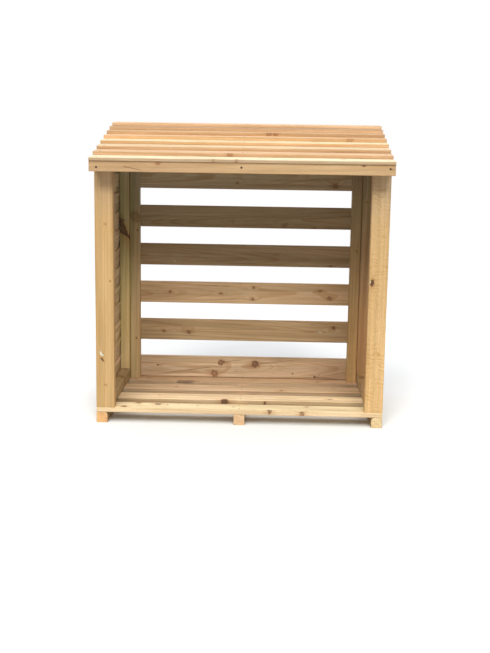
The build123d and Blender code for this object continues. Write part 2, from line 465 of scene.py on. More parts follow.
edge_area = log.noise(30, 8).step(0.3, 0.7, 0.25, 1)
colour = colour.tinted(given["Edge"] * edge_area * 0.5, (0.84, 0.76, 0.66))
bark_tone = log.noise(260, 40, 3).step(0.3, 0.7)
bark_colour = net.mix(bark_tone, (0.1, 0.052, 0.03, 1), (0.27, 0.155, 0.085, 1))
ragged = log.noise(300, 16, 3, 0.6) - 0.5
bark = (ragged * 1.6 + given["Bark"]).step(0.3, 0.75)
colour = net.mix(bark, colour, bark_colour)
chip_colour = (0.92, 0.88, 0.66) * fibre.step(0.2, 0.8, 0.8, 1.05)
colour = net.mix(both("Chip"), colour, chip_colour)

rough = fibre.step(0.2, 0.8, 0.62, 0.8) - both("Core") * 0.14 - late * 0.07
height = late * 0.1 + fibre * 0.16 + saw * saw_depth + fuzz * saw_depth * 1.6 - crack * 0.9
height = height + both("Core") * 0.18 - both("Rim") * 0.25 - both("Chip") * 1.3 + bark * bark_tone * 0.8
net.node("NodeGroupOutput", {"Color": colour, "Roughness": rough, "Height": height})
print("pine group", len(pine_group.nodes), "nodes")

# %% [markdown]
# ## Five finishes of one timber
#
# Each kind of piece was sawn a little differently, so each material gives the pine group its own
# values. What changes from board to board comes from attributes of its mesh: the log's coordinates,
# the mean colour, the knots and the masks.


# %% Pine materials
def pine_material(name, ring_width, saw_step, cracks):
    """Sawn pine with its own ring width and step of saw marks in metres, and share of cracks."""
    material, net, shader = new_material(name, 0.7, 0.3)
    inputs = {"Ring width": ring_width, "Saw step": saw_step, "Cracks": cracks}
    for socket in ("Wood", *pine_vectors, *pine_numbers[:5]):
        kind, label = "Fac" if socket in pine_numbers else "Vector", socket.lower().replace(" ", "_")
        inputs[socket] = net.add("Attribute", {}, kind, attribute_name=label)
    pine = net.node("ShaderNodeGroup", inputs, node_tree=pine_group)
    bump = net.add("Bump", {"Strength": 1, "Distance": 0.001, "Height": pine["Height"]})
    net.feed(shader, {"Base Color": pine["Color"], "Roughness": pine["Roughness"], "Normal": bump})
    return material


finishes = {
    "pine_post": pine_material("pine_post", 0.0046, 0.018, 0.25),
    "pine_frame": pine_material("pine_frame", 0.0036, 0.0062, 0.5),
    "pine_board": pine_material("pine_board", 0.0034, 0.004, 0.5),
    "pine_boarding": pine_material("pine_boarding", 0.0034, 0.005, 0.3),
    "pine_roof": pine_material("pine_roof", 0.0038, 0.005, 0.3),
}
print("finishes", *finishes)

# %% [markdown]
# ## Nails
#
# A nail head is a low dome of browned steel in a narrow ring of bruised wood. Both are one small
# surface turned about the nail's line, and the edge mask tells them apart.

# %% Nail material
nail_steel, net, shader = new_material("browned_nail_steel", 0.6, 0.15)
rust = net.add("TexCoord", {}, "Object").noise(700, 700, 3, 0.6).step(0.38, 0.62)
steel = net.mix(rust, (0.1, 0.055, 0.03, 1), (0.045, 0.024, 0.014, 1))
bruised = net.mix(rust, (0.2, 0.1, 0.045, 1), (0.34, 0.19, 0.09, 1))
on_wood = net.add("Attribute", {}, "Fac", attribute_name="edge") > 0.5
nail_colour = net.mix(on_wood, steel, bruised)
net.feed(shader, {"Base Color": nail_colour, "Roughness": rust.step(0, 1, 0.65, 0.9)})
print("nail material", len(nail_steel.node_tree.nodes), "nodes")

# %% [markdown]
# ## Parts and pieces
#
# A part is a bundle of arrays: points, faces and one array for each attribute that the finishes
# read. First come the nails, the smallest part.

# %% Nail heads
point_attributes = {"log": 3, "edge": 1, "bark": 1}
face_attributes = {"wood": 3, "look": 3, "end": 1}
for letter in "ab":
    face_attributes |= {"knot_" + letter: 3, "radius_" + letter: 1, "manner_" + letter: 3}


def nail_heads(places, outwards, radius=0.0031):
    """Low domes at the given places.

    A point is place + side * r cos(turn) + other * r sin(turn) + outwards * h, where r and h
    follow the profile from the middle of the dome out to the bruised wood.
    """
    reach = np.array([0.35, 0.75, 0.97, 1, 1.06, 1.5]) * radius
    lift = np.array([0.6, 0.48, 0.26, -0.1, 0.04, -0.2]) * 0.001
    outwards = np.asarray(outwards, float)
    side = np.cross(outwards, (0.31, 0.53, 0.79))
    side /= np.linalg.norm(side)
    turn = np.arange(10) * 2 * np.pi / 10
    ring = np.cos(turn)[:, None] * side + np.sin(turn)[:, None] * np.cross(outwards, side)
    shape = reach[:, None, None] * ring[None] + lift[:, None, None] * outwards
    points = (np.asarray(places, float)[:, None, None, :] + shape[None]).reshape(-1, 3)
    i, j = np.meshgrid(np.arange(len(reach) - 1), np.arange(len(turn)), indexing="ij")
    quads = ring_quads(i, j, len(turn))
    last_ring = (len(reach) - 1) * len(turn)
    caps = [list(range(len(turn))), [last_ring + n for n in reversed(range(len(turn)))]]
    one = quads.tolist() + caps
    step = len(reach) * len(turn)
    part = {"points": points, "faces": [[v + n * step for v in f] for n in range(len(places)) for f in one]}
    part["edge"] = np.tile(np.repeat((np.arange(len(reach)) > 3.5).astype(float), len(turn)), len(places))
    part["steel"] = np.ones(len(part["faces"]), np.int32)
    return part


def ring_quads(i, j, around):
    """The four corners of each face between ring i and the next, and point j and the next."""
    k = (j + 1) % around
    corners = [i * around + j, (i + 1) * around + j, (i + 1) * around + k, i * around + k]
    return np.stack(corners, -1).reshape(-1, 4)


# %% [markdown]
# ## Joining
#
# Parts that move together become one mesh, made from all their arrays at once. Blender's own join
# would need an object for each part first.

# %% Join parts into a piece
pieces = []


def join(name, nodes, finish, *parts):
    """One piece of the store from its parts. It stands in for the frame's nodes."""
    offsets = np.cumsum([0] + [len(part["points"]) for part in parts])
    faces = [[v + int(start) for v in f] for part, start in zip(parts, offsets) for f in part["faces"]]
    mesh = bpy.data.meshes.new(name)
    mesh.from_pydata(np.concatenate([part["points"] for part in parts]).tolist(), [], faces)
    mesh.materials.append(finishes[finish])
    steel = np.concatenate([part.get("steel", np.zeros(len(part["faces"]), np.int32)) for part in parts])
    if steel.any():
        mesh.materials.append(nail_steel)
        mesh.polygons.foreach_set("material_index", steel)
    for domain, table in (("POINT", point_attributes), ("FACE", face_attributes)):
        for label, width in table.items():
            rows = []
            for part in parts:
                count = len(part["points"] if domain == "POINT" else part["faces"])
                rows.append(np.asarray(part.get(label, np.zeros(count * width)), np.float32).ravel())
            kind, field = ("FLOAT_VECTOR", "vector") if width == 3 else ("FLOAT", "value")
            mesh.attributes.new(label, kind, domain).data.foreach_set(field, np.concatenate(rows))
    mesh.shade_smooth()
    mesh.set_sharp_from_angle(angle=math.radians(35))
    piece = bpy.data.objects.new(name, mesh)
    bpy.context.scene.collection.objects.link(piece)
    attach(piece, "root")
    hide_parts(*nodes)
    pieces.append(piece)


# %% [markdown]
# ## A board
#
# Every board is one surface of two parameters: the way along it and the way round its section. The
# section has four corners, eased by small arcs. Corners and arcs may change along the board, as a
# waney edge or a tapered end needs. The board lies in its own frame of three directions: along,
# across and depth. The tree is a straight line beside or behind the board, so the log's coordinates
# are the board's own, moved.


# %% Section of a board
end_stain, end_chamfer, station_step = 0.01, 0.0008, 0.03


def edge_ways(corners):
    """Unit steps from each corner to the one before it and to the one after it."""
    before, after = np.roll(corners, 1, 1) - corners, np.roll(corners, -1, 1) - corners
    return (way / np.linalg.norm(way, axis=-1, keepdims=True) for way in (before, after))


def section(corners, arris, spans, arc=3):
    """Points round the section at each station.

    At a corner C with A and B the arris size back along its two edges, the arc is
    (1-u)(1-u) A + 2u(1-u) C + u u B. Between arcs, a point is (1-t) B + t A of the next corner,
    for each t in that side's spans. Returns points (stations, round, 2), the edge mask, the
    corner's share of each point, and the side that each face belongs to.
    """
    before, after = edge_ways(corners)
    start, end = corners + arris[..., None] * before, corners + arris[..., None] * after
    u = np.linspace(0, 1, arc + 1)[None, :, None]
    rows, mask, shares, sides = [], [], [], []
    for c in range(4):
        a, m, b = (p[:, c, None] for p in (start, corners, end))
        rows.append((1 - u) ** 2 * a + 2 * u * (1 - u) * m + u**2 * b)
        mask += [0.8] + [1] * (arc - 1) + [0.8]
        shares += [np.eye(4)[c]] * (arc + 1)
        t = np.asarray(spans[c])[None, :, None]
        rows.append((1 - t) * b + t * start[:, (c + 1) % 4, None])
        mask += [0] * t.shape[1]
        shares += [0.5 * ((1 - v) * np.eye(4)[c] + v * np.eye(4)[(c + 1) % 4]) for v in spans[c]]
        sides += [c] * (arc + 1 + t.shape[1])
    return np.concatenate(rows, 1), np.array(mask), np.array(shares), np.array(sides)


def stations(length):
    """Places along a board: every step, and two just inside each end."""
    places = np.linspace(end_chamfer, length - end_chamfer, max(int(length / station_step), 2) + 1)
    ends = np.array([0, end_chamfer, end_stain])
    return np.concatenate([ends, places[1:-1], length - ends[::-1]])


# %% [markdown]
# The nearest knot of a face is looked up once for each strip of faces round the board, and a
# knot with a check counts as near all along the check. Knots are dealt out in turn to two lists,
# so that two that lie close together can both shape the grain.


# %% Knots of each strip
def nearest_knots(knots, strip_middles):
    """For lists A and B in turn, the row of the knot nearest to each strip."""
    order = np.argsort(knots[:, 0])
    for part in (order[0::2], order[1::2]):
        if len(part):
            ends = np.sort(np.stack([knots[part, 0], knots[part, 0] + knots[part, 5]]), 0)
            before, after = ends[0] - strip_middles[:, None], strip_middles[:, None] - ends[1]
            yield knots[part[np.maximum(np.maximum(before, after), 0).argmin(1)]]
        else:
            yield np.zeros((len(strip_middles), 7))


# %% [markdown]
# The board itself carries the section along. Each board has its own tree: pith is where the
# middle of the trunk lies from the board's corner, across and in depth, and lean is how far that
# line moves for each metre. The slopes of a cut end are given per metre of depth.

# %% Board surface
wide_spans, narrow_spans, square_spans = (0.06, 0.3, 0.5, 0.7, 0.94), (0.5,), (0.15, 0.5, 0.85)
square_sides = (square_spans, square_spans)
tree_shift = 0.0
knot_units = (1000, 1000, 1000, 1000, 1, 1000, 1)


def board(
    origin, along, across, depth, length, corners, wood, pith, look, lean=(0, 0), arris=0.002, knots=(),
    end_wood=None, slopes=(0, 0), spans=(wide_spans, narrow_spans), shape=None, fade=(1, 1),
):
    """One board: place = origin + s along + a across + d depth, with (a, d) round the section.

    s runs from slopes[0] d to length + slopes[1] d, so that an end may be cut at an angle. The
    log's coordinates of a point are d and a less the pith's, and s plus a shift that no other
    board has. wood is one colour or one for each side. look is the strength of the saw marks, of
    the green cast and of the grain. fade is what the wood is multiplied by at even steps from
    start to end, as numbers or colours. A knot is s, a, d, radius, darkness, length of its check,
    slope of the check, in millimetres, and the last three may be left out. shape may change
    corners and arris along the board and set the bark.
    """
    global tree_shift
    tree_shift += 3.7
    s = stations(length)
    corner_rows = np.broadcast_to(np.asarray(corners, float), (len(s), 4, 2)).copy()
    arris_rows = np.broadcast_to(np.asarray(arris, float), (len(s), 4)).copy()
    bark = np.zeros((len(s), 4))
    if shape:
        shape(s, corner_rows, arris_rows, bark)
    inset = np.zeros((len(s), 1, 1))
    inset[[0, -1]] = end_chamfer
    corner_rows += inset * sum(edge_ways(corner_rows))
    points, edge, shares, sides = section(corner_rows, arris_rows, list(spans) * 2)
    around = points.shape[1]
    a, d, t = points[..., 0], points[..., 1], (s / length)[:, None]
    run = slopes[0] * d + t * (length + (slopes[1] - slopes[0]) * d)
    place = origin + run[..., None] * along + a[..., None] * across + d[..., None] * depth

    def in_log(s, a, d):
        """The log's coordinates of a place in the board."""
        return np.stack([d - pith[1] - lean[1] * s, a - pith[0] - lean[0] * s, s + tree_shift], -1)

    i, j = np.meshgrid(np.arange(len(s) - 1), np.arange(around), indexing="ij")
    quads = ring_quads(i, j, around)[:, ::-1]
    first, last = np.arange(around)[::-1], np.arange(around) + (len(s) - 1) * around
    middle, ahead = corner_rows[len(s) // 2], np.roll(corner_rows[len(s) // 2], -1, 0)
    area = np.sum(middle[:, 0] * ahead[:, 1] - ahead[:, 0] * middle[:, 1])
    if area * np.dot(np.cross(along, across), depth) < 0:
        quads, first, last = quads[:, ::-1], first[::-1], last[::-1]

    faces = quads.tolist() + [first.tolist(), last.tolist()]
    at_end = np.isin(np.arange(len(s)), (0, 1, len(s) - 2, len(s) - 1))
    wood = np.broadcast_to(np.asarray(wood, float), (4, 3))
    end_wood = wood[0] if end_wood is None else end_wood
    # fade carries painted light and shade: the wood is multiplied by its stops along the board.
    stops = np.array([np.broadcast_to(stop, 3) for stop in fade], float)
    stop_places = np.linspace(0, length, len(stops))
    strip_painted_light_and_shade = [np.interp((s[1:] + s[:-1]) / 2, stop_places, channel) for channel in stops.T]
    side_colours = (np.stack(strip_painted_light_and_shade, -1)[:, None, :] * wood[sides]).reshape(-1, 3)
    part = {
        "points": place.reshape(-1, 3),
        "faces": faces,
        "log": in_log(run, a, d),
        "edge": np.maximum(edge, at_end[:, None]).ravel(),
        "bark": bark @ shares.T,
        "wood": np.concatenate([side_colours, [end_wood, end_wood]]),
        "look": np.tile(look, (len(faces), 1)),
        "end": np.append(np.zeros(len(quads)), [1, 1]),
    }
    strips = np.append(np.repeat(np.arange(len(s) - 1), around), [0, len(s) - 2])
    knots = np.array([(*row, 0, 0, 0)[:7] for row in knots], float).reshape(-1, 7) / knot_units
    for letter, rows in zip("ab", nearest_knots(knots, (s[1:] + s[:-1]) / 2)):
        part["knot_" + letter] = in_log(*rows[:, :3].T)[strips]
        part["radius_" + letter] = rows[strips, 3]
        part["manner_" + letter] = rows[strips, 4:]
    return part


# %% [markdown]
# ## Sizes and directions
#
# Sizes are in metres, and those of knots in millimetres. Most boards fill the box of their node in
# the frame, so it is enough to name the node and the board's three ways. Knots that show in the
# picture are placed one by one. The others fall at random, the same on every run.

# %% Sizes
X, Y, Z = np.eye(3)
roof_pitch = math.radians(13)
rise = math.tan(roof_pitch)
eave_height, rafter_depth = 1.05, 0.036
side_butt, roof_butt, tip, clearance = 0.011, 0.014, 0.005, 0.0003
body_front, rafter_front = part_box("floor_board_1")[0].y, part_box("rafter_left")[0].y


def under_rafters(y):
    """Height of the rafters' underside at the depth y."""
    return eave_height + (y - rafter_front) * rise


def oblong(width, thickness):
    """Corners of a plain section, across and in depth."""
    return [(0, 0), (width, 0), (width, thickness), (0, thickness)]


def boxed(node, ways, wood, length=None, corners=None, **values):
    """A board in the box of a node, from the corner where all three ways start."""
    low, high = np.array(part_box(node))
    size = [abs(way) @ (high - low) for way in ways]
    start = np.where(sum(ways) > 0, low, high)
    return board(start, *ways, length or size[0], corners or oblong(*size[1:]), wood, **values)


def upright(node, **values):
    """A board on end, with its top cut to the slope of the rafters."""
    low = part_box(node)[0]
    return boxed(node, (Z, X, Y), length=under_rafters(low.y) - low.z, slopes=(0, rise), **values)


def bevelled(node, top, wood, **values):
    """A level board across the store. Its upper edge follows top, a height for each depth."""
    low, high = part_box(node)
    front, back, thickness = top(low.y) - low.z, top(high.y) - low.z, high.y - low.y
    corners = [(0, 0), (front, 0), (back, thickness), (0, thickness)]
    return boxed(node, (X, Z, Y), wood, corners=corners, **values)


def feather(origin, ways, length, width, heel, lift, wood, **values):
    """A feather-edged board whose foot stands off by lift and whose outer face starts at heel."""
    corners = [(0, heel), (width, tip), (width, 0), (0, lift)]
    return board(origin, *ways, length, corners, wood, spans=((0.08, 0.35, 0.65, 0.92), ()), **values)


def middle_x(*names):
    """The middle of each named node, from side to side."""
    return [(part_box(name)[0].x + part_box(name)[1].x) / 2 for name in names]


luck = np.random.default_rng(12)


def some_knots(length, width, count, depth=0):
    """A few knots at random, spread along a board. Some are dark, and some have a short check."""
    knots = np.zeros((count, 7))
    knots[:, 0] = (np.arange(count) + luck.uniform(0.15, 0.85, count)) * length / count
    knots[:, 1] = luck.uniform(0.15, 0.85, count) * width
    knots[:, 2] = depth
    for column, low, high in ((3, 0.003, 0.007), (5, -0.03, 0.03), (6, -0.1, 0.1), (4, 0, 0.6)):
        knots[:, column] = luck.uniform(low, high, count)
    return knots * knot_units


print("front", round(body_front, 4))

# %% [markdown]
# ## Bearers
#
# Three bearers carry the floor, with bright orange sawn ends. They were cut near the bark, so the
# outer two have lost a corner to the round of the log.


# %% Bearers
def waney(corner, size, wander, bark_share, start=-1, end=9):
    """A shape that eats into one corner between two places along the board.

    The corner's arc grows by size * w, with w a smooth hump between start and end, rippled by
    two sines of the place along the board.
    """

    def change(s, corners, arris, bark):
        share = np.clip(np.minimum(s - start, end - s) / 0.04, 0, 1)
        share = share * share * (3 - 2 * share)
        ripple = 1 + wander * (0.6 * np.sin(s * 31 + 1) + 0.4 * np.sin(s * 77 + 2))
        arris[:, corner] += size * share * ripple
        bark[:, corner] = bark_share * share

    return change


for side, end_wood, change in (
    ("left", (1, 0.61, 0.29), waney(1, 0.008, 0.4, 0.2)),
    ("middle", (1, 0.68, 0.42), None),
    ("right", (1, 0.79, 0.45), waney(0, 0.011, 0.3, 0.2)),
):
    node = "bearer_" + side
    bearer = boxed(
        node, (Y, X, -Z), (0.62, 0.43, 0.225), end_wood=end_wood, look=(0.15, 0.3, 0.6), pith=(0.03, 0.075),
        spans=square_sides, knots=some_knots(0.62, 0.046, 2), shape=change,
    )
    join(side + "_bearer", [node], "pine_frame", bearer)
print("bearers", len(pieces))

# %% [markdown]
# ## Floor boards
#
# Four planed boards with wide gaps. The front one is the palest of all, and the rear one has a strip
# of bark on its front edge. Each has two colours, for its faces and for its front edge, which is
# painted darker as painted shade.

# %% Floor boards
floor_wood = [(0.97, 0.8, 0.5), (0.96, 0.74, 0.47), (0.74, 0.53, 0.33), (0.72, 0.5, 0.315)]
# The front edges' colours are the wood darkened by painted shade.
floor_edge_wood_and_painted_shade = [(0.9, 0.67, 0.4), (0.56, 0.4, 0.225), (0.5, 0.35, 0.21), (0.6, 0.42, 0.26)]
floor_knots = [
    [
        (111, 27, 0, 11, 0.5, 20, 0), (166, 90, 0, 9, 0.5), (252, 74, 0, 12, 0.6), (292, 70, 0, 3, 0.8),
        (338, 85, 0, 3, 0.3), (422, 60, 0, 3, 0.9), (575, 55, 0, 4, 0.7), (728, 5, 0, 9, 0.5),
        (862, 0, 19, 8, 0.3), (886, 80, 0, 6, 0.4, 35, 0),
    ],
    [(240, 60, 0, 4), (530, 0, 8, 14, 0.7, 30, 0), (707, 0, 12, 4, 0.8), (992, 46, 0, 6, 0.3, -60, 0.25)],
    [(300, 50, 0, 6), (780, 20, 0, 6), (1020, 70, 0, 5)],
    [(150, 50, 0, 6), (660, 60, 0, 5), (950, 30, 0, 7)],
]
floor_pith = [(0.055, 0.085), (0.03, 0.07), (0.07, 0.06), (0.05, 0.075)]
floor_lean = [(-0.02, 0.015), (0.02, 0.02), (0.01, -0.02), (0.02, 0.01)]
floor_look = [(0.02, 0.1, 0.5), (0.03, 0.2, 0.65), (0.05, 0.2, 0.7), (0.05, 0.2, 0.8)]
bearer_x = middle_x("bearer_left", "bearer_middle", "bearer_right")
bark_edge = waney(0, 0.012, 0.35, 0.62, 0.262, 0.415)
for n in range(4):
    node = f"floor_board_{n + 1}"
    low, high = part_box(node)
    slat = boxed(
        node, (X, Y, -Z), [floor_wood[n]] * 3 + [floor_edge_wood_and_painted_shade[n]], pith=floor_pith[n], look=floor_look[n],
        lean=floor_lean[n], knots=floor_knots[n], shape=bark_edge if n == 3 else None,
    )
    nails = [(x, low.y + a, high.z) for x in bearer_x for a in (0.024, 0.077)]
    nails = nail_heads(nails[2:4] if n == 0 else nails, Z, 0.0026)
    join(f"floor_slat_{n + 1}", [node], "pine_board", slat, nails)
print("floor boards", n + 1)

# %% [markdown]
# ## Posts
#
# A flat post stands at each front corner. The left one is smooth with straight, soft grain, and
# the right one is rough from the saw. Their tops are painted greyer and bluer as painted shade of
# the roof, and the right post is paler towards its foot.

# %% Posts
# Each post's last fade stop paints its top greyer and bluer, as painted shade of the roof. The right post's
# stops also make it paler towards the foot.
post_values = {
    "left": dict(
        wood=(0.65, 0.42, 0.182), fade=(1.03, 1, 0.98, 0.98, (1.12, 1.22, 1.55)), look=(0.03, 0.12, 0.6),
        pith=(0.135, 0.055), knots=[
            (770, 43, 0, 3, -0.25), (536, 62, 0, 2, 0.5), (97, 41, 0, 2.5, -0.2),
            (233, 21, 0, 6.2, -1, 0, 0.6), (205, 27, 0, 3.2, 0.9, 0, 0.8),
        ],
    ),
    "right": dict(
        wood=(0.67, 0.43, 0.187), fade=(1.18, 1.11, 1.04, 0.96, (0.98, 1.08, 1.42)), look=(0.36, 0, 0.2),
        pith=(-0.02, 0.09), knots=[
            (546, 13, 0, 7.8, 1, 0, 1), (552, 6, 0, 4.4, -1, 0, 0.3), (250, 50, 0, 2, -0.2),
        ],
    ),
}
for side, values in post_values.items():
    node = "front_post_" + side
    post = upright(node, lean=(0.006, 0.005), spans=(wide_spans, square_spans), **values)
    join(side + "_post", [node], "pine_post", post)
print("posts", *post_values)

# %% [markdown]
# ## Side frames
#
# Behind each post a frame of two square studs stands on a rail, with tops cut to the slope of the
# rafters. A stud's fade lists its tint from foot to top, painted shade that turns it darker and
# bluer towards the roof.

# %% Side frames
# Each stud's fade is painted shade: darker and bluer towards the roof.
frame_values = {
    "left": {
        "stud": dict(
            wood=(0.72, 0.575, 0.29), look=(0.08, 0.8, 0.55),
            fade=(1, 1, (0.93, 1, 1.1), (0.82, 0.93, 1.2), (0.95, 1.02, 1.75)),
        ),
        "rear": dict(pith=(0.062, 0.001), knots=[(665, 4, 1, 22, 0.85, 0, 0.9)]),
        "rail": dict(wood=(0.5, 0.37, 0.19), knots=[
            (350, 20, 0, 8, 0.3), (331, 37, 0, 7, 0.2), (500, 25, 0, 6, 0.2),
        ]),
    },
    "right": {
        "stud": dict(
            wood=(0.6, 0.375, 0.19), look=(0.08, 0.15, 0.55),
            fade=(1, 1, (0.9, 1, 1.1), (0.85, 1.15, 1.35), (0.62, 0.76, 1.05)),
        ),
        "rear": dict(pith=(0.05, -0.03), knots=[(800, 20, 0, 4, -0.3)]),
        "rail": dict(wood=(0.66, 0.46, 0.27), knots=[
            (420, 23, 0, 12, 0.2, 30, 0), (300, 2, 10, 6, 0.9, 40, 0.3),
        ]),
    },
}
for side, values in frame_values.items():
    nodes = [part + side for part in ("bottom_rail_", "front_stud_", "rear_stud_")]
    stud = {"lean": (0.01, -0.01), "spans": square_sides, **values["stud"]}
    rail = {"pith": (0.06, 0.05), "look": (0.1, 0.3, 0.7), "spans": square_sides, **values["rail"]}
    rail = boxed(nodes[0], (Y, X, -Z), **rail)
    front = upright(nodes[1], pith=(-0.02, 0.06), knots=some_knots(1, 0.045, 2), **stud)
    rear = upright(nodes[2], **values["rear"], **stud)
    join(side + "_side_frame", nodes, "pine_frame", rail, front, rear)
print("side frames", *frame_values)

# %% [markdown]
# ## Frame of the back panel
#
# Two battens stand under a top rail, whose upper face lies along the rafters.

# %% Battens and top rail
# Each batten's fade is painted light and shade: paler near the foot, where light falls, and darker and bluer
# towards the roof.
batten_values = {
    "left": dict(
        wood=(0.6, 0.455, 0.25), look=(0.08, 1, 0.5),
        fade=((1.06, 1, 1.05), (1.05, 1.01, 1.05), (0.94, 0.98, 1), (0.7, 0.82, 0.91), (0.8, 0.97, 1.4)),
        knots=[(752, 37, 0, 17, -0.25, 0, 0.3), (700, 35, 0, 3), (193, 29, 0, 3)],
    ),
    "right": dict(
        wood=(0.56, 0.365, 0.18), look=(0.08, 0.25, 0.5),
        fade=((1.33, 1.36, 1.3), (0.98, 1, 0.95), (0.97, 1.08, 1.1), (0.87, 1.07, 1.27), (0.58, 0.67, 0.95)),
        knots=[(620, 30, 0, 3, -0.2)],
    ),
}
parts = []
for side, values in batten_values.items():
    tree = {"pith": (0.055, -0.035), "lean": (0.01, 0.01), "spans": square_sides}
    parts.append(boxed("back_batten_" + side, (Z, X, Y), **tree, **values))

rail = bevelled(
    "back_top_rail", under_rafters, (0.58, 0.41, 0.2), pith=(0.02, 0.07), look=(0.08, 0.5, 0.6),
    knots=some_knots(1.06, 0.045, 3), spans=square_sides,
)
join("back_frame", ["back_batten_left", "back_batten_right", "back_top_rail"], "pine_frame", *parts, rail)
print("parts of the back's frame", len(parts) + 1)

# %% [markdown]
# ## Back boards
#
# Six boards are nailed to the battens from behind. They show most of the grain in the picture, so
# their knots are placed one by one, here from the middle of the store.

# %% Back boards
back_wood = [
    (0.62, 0.445, 0.295), (0.49, 0.345, 0.195), (0.68, 0.475, 0.28), (0.475, 0.355, 0.215),
    (0.455, 0.35, 0.22), (0.6, 0.49, 0.34),
]
back_knots = [
    [
        (-408, 54, 0, 3.5, 0.9, 30, 0), (-107, 71, 0, 12, 0.3, 120, 0.05), (55, 66, 0, 15, 0.6, 250, 0.05),
        (-138, 18, 0, 14, 0.1), (-158, 47, 0, 1, 0.3, -260, 0.1), (235, 24, 0, 3, 0.8),
        (338, 11, 0, 5, 0.9, 150, -0.03),
    ],
    [(-378, 40, 0, 5, 0.3), (-261, 39, 0, 8, 0.2), (421, 71, 0, 7, 0.5), (357, 50, 0, 4, -1)],
    [
        (-350, 51, 0, 6, 0.4), (-110, 47, 0, 5, 0.4), (44, 77, 0, 5, 0.4), (39, 23, 0, 6, 0.2),
        (355, 67, 0, 6, 0.3), (400, 33, 0, 9, 0.3),
    ],
    [(-332, 18, 0, 3.5, -1), (400, 4, 0, 6, 0.1), (150, 60, 0, 4, -0.35)],
    [(-60, 30, 0, 6, -0.3), (180, 10, 0, 8, -0.25), (320, 4, 0, 6, -0.2)],
    [(-40, 30, 0, 6, -0.2), (411, 22, 0, 9, 0.1), (280, 60, 0, 3, -0.3)],
]
back_pith = [(0.03, 0.08), (0.075, 0.06), (0.045, 0.07), (0.05, 0.09), (0.02, 0.075), (0.06, 0.08)]
back_lean = [(0.02, 0.02), (-0.03, 0.015), (0.01, 0.02), (-0.02, 0.02), (0.02, -0.02), (0, 0.02)]
batten_x = middle_x("back_batten_left", "back_batten_right")
for n in range(6):
    node = f"back_board_{n + 1}"
    low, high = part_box(node)
    slat = boxed(
        node, (X, Z, Y), back_wood[n], pith=back_pith[n], look=(0.05, 0.25, 0.75), lean=back_lean[n],
        knots=[(x - low.x * 1000, *rest) for x, *rest in back_knots[n]],
    )
    nails = [(x, high.y, low.z + a) for x in batten_x for a in (0.024, 0.078)]
    join(f"back_slat_{n + 1}", [node], "pine_board", slat, nail_heads(nails, Y))
print("back boards", n + 1)

# %% [markdown]
# ## Side boarding
#
# Feather-edged boards clothe each side, each with its thick foot over the thin top of the one below.
# The upper boards are cut to the roof's slope. The last is only a small wedge at the back, so it is
# joined to the one below it. The inner faces carry painted light near the floor and painted shade,
# darker and greyer, near the roof.

# %% Side boards
side_exposure, side_width, side_count = 0.085, 0.104, 14
nail_height, nail_from_front, nail_from_back = 0.027, 0.022, 0.042
# The inner faces' colour is painted light low down and painted shade, darker and greyer, high up.
inner_painted_light, inner_painted_shade = np.array((1.3, 1.37, 1.5)), np.array((0.66, 0.72, 0.8))


def lap_lift(exposure, width, butt):
    """How far a lapped board's foot stands off when all the boards tilt alike."""
    stretch = width / exposure
    over_tip = stretch * (tip + clearance)
    over_heel = stretch * (butt + clearance) - butt + tip
    return max(over_tip, over_heel)


def cut_to_slope(start, foot):
    """A shape: the width at each place is the lesser of the board's own and what the roof leaves."""

    def change(s, corners, arris, bark):
        width = np.clip(under_rafters(start + s) - foot, 0.004, side_width)
        share = width / side_width
        corners[:, 1:3, 0] = width[:, None]
        corners[:, 1, 1] = side_heel + (tip - side_heel) * share
        corners[:, 2, 1] = side_lift * (1 - share)

    return change


side_lift = lap_lift(side_exposure, side_width, side_butt)
side_heel = side_lift + side_butt
stud_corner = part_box("front_stud_left")[0]
frame_face, boarding_front = -stud_corner.x, stud_corner.y
for side, outwards in (("left", -1), ("right", 1)):
    low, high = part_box("side_boarding_" + side)
    lap_boards = []
    for n in range(side_count):
        foot = low.z + n * side_exposure
        start = max(boarding_front, rafter_front + (foot - eave_height) / rise + 0.02)
        outer_wood = np.array((0.73, 0.55, 0.35)) * luck.uniform(0.88, 1.1)
        inner_wood_with_painted_shade = outer_wood * (inner_painted_light + (inner_painted_shade - inner_painted_light) * n / side_count)
        origin, length = np.array([outwards * frame_face, start, foot]), high.y - start
        wood = [outer_wood, outer_wood, inner_wood_with_painted_shade, outer_wood]
        values = {"look": (0.22, 0.4, 0.7), "arris": (0.0012, 0.0008, 0.0008, 0.0012)}
        values["pith"] = luck.uniform(0, 0.1), luck.uniform(-0.09, -0.05)
        values["lean"] = luck.uniform(-0.03, 0.03, 2)
        values |= {"knots": some_knots(length, 0.08, 2, depth=0.012), "shape": cut_to_slope(start, foot)}
        ways = (Y, Z, outwards * X)
        lap_board = feather(origin, ways, length, side_width, side_heel, side_lift, wood, **values)
        out = outwards * (frame_face + side_heel + (tip - side_heel) * nail_height / side_width)
        places = (boarding_front + nail_from_front, high.y - nail_from_back)
        heads = [(out, y, foot + nail_height) for y in places if y > start and under_rafters(y) > foot + 0.04]
        lap_boards.append([lap_board] + ([nail_heads(heads, outwards * X, 0.0028)] if heads else []))
    wedge = lap_boards.pop()
    lap_boards[-1] += wedge
    for n, parts in enumerate(lap_boards):
        join(f"{side}_lap_board_{n + 1:02d}", ["side_boarding_" + side], "pine_boarding", *parts)
print("lapped boards on a side", side_count)

# %% [markdown]
# ## Rafters
#
# Three rafters run down the slope and past the back. Their ends are cut upright.

